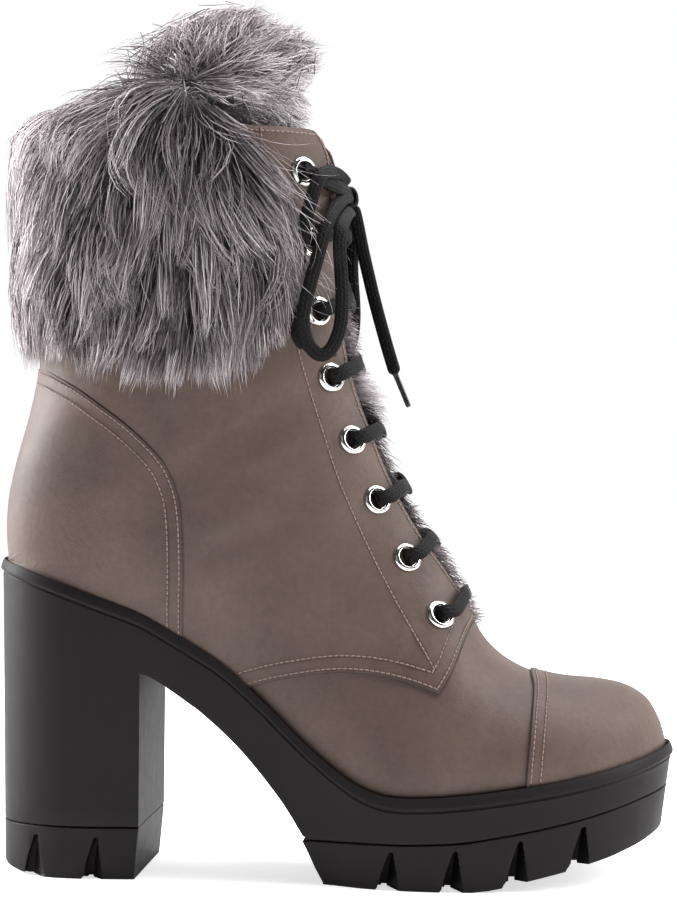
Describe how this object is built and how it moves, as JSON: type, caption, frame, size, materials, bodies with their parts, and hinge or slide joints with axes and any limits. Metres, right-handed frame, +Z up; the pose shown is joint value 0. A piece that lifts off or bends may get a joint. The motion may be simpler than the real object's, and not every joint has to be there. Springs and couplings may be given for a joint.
{
  "type": "fur-cuffed lace-up platform boot",
  "caption": "Lace-up leather ankle boot with a folded fur cuff, a stitched toe cap and counter, and a lugged platform sole with a tall block heel.",
  "frame": {"origin": "centre of the bounding box on the floor the boot stands on", "axes": "+X heel to toe, -Y towards the outer side of the foot, +Z up"},
  "size_m": [0.247, 0.1064, 0.3173],
  "materials": {
    "taupe_leather": "matte smooth leather with a faint sheen",
    "taupe_lining": "matte suede-like leather",
    "black_rubber": "satin moulded rubber",
    "taupe_fur": "long-haired fur, grey with a mauve cast",
    "polished_nickel": "polished nickel",
    "black_lace": "braided matte cord",
    "insole_felt": "soft felt"
  },
  "bodies": {
    "root": {"upper": "taupe_leather", "toe_cap": "taupe_leather", "heel_counter": "taupe_leather", "quarter_outer": "taupe_leather", "quarter_inner": "taupe_leather", "tongue": "taupe_lining", "sole_unit": "black_rubber", "forefoot_tread": "black_rubber", "heel_tread": "black_rubber", "insole": "insole_felt", "fur_cuff": "taupe_fur", "tongue_fur": "taupe_fur", "eyelet_outer_1": "polished_nickel", "eyelet_outer_2": "polished_nickel", "eyelet_outer_3": "polished_nickel", "eyelet_outer_4": "polished_nickel", "eyelet_outer_5": "polished_nickel", "eyelet_outer_6": "polished_nickel", "eyelet_outer_7": "polished_nickel", "eyelet_outer_8": "polished_nickel", "eyelet_inner_1": "polished_nickel", "eyelet_inner_2": "polished_nickel", "eyelet_inner_3": "polished_nickel", "eyelet_inner_4": "polished_nickel", "eyelet_inner_5": "polished_nickel", "eyelet_inner_6": "polished_nickel", "eyelet_inner_7": "polished_nickel", "eyelet_inner_8": "polished_nickel", "lace_cross_outer": "black_lace", "lace_cross_inner": "black_lace", "lace_knot": "black_lace", "lace_loop_outer": "black_lace", "lace_end_outer": "black_lace", "aglet_outer": "black_lace", "lace_loop_inner": "black_lace", "lace_end_inner": "black_lace", "aglet_inner": "black_lace"}
  },
  "joints": []
}
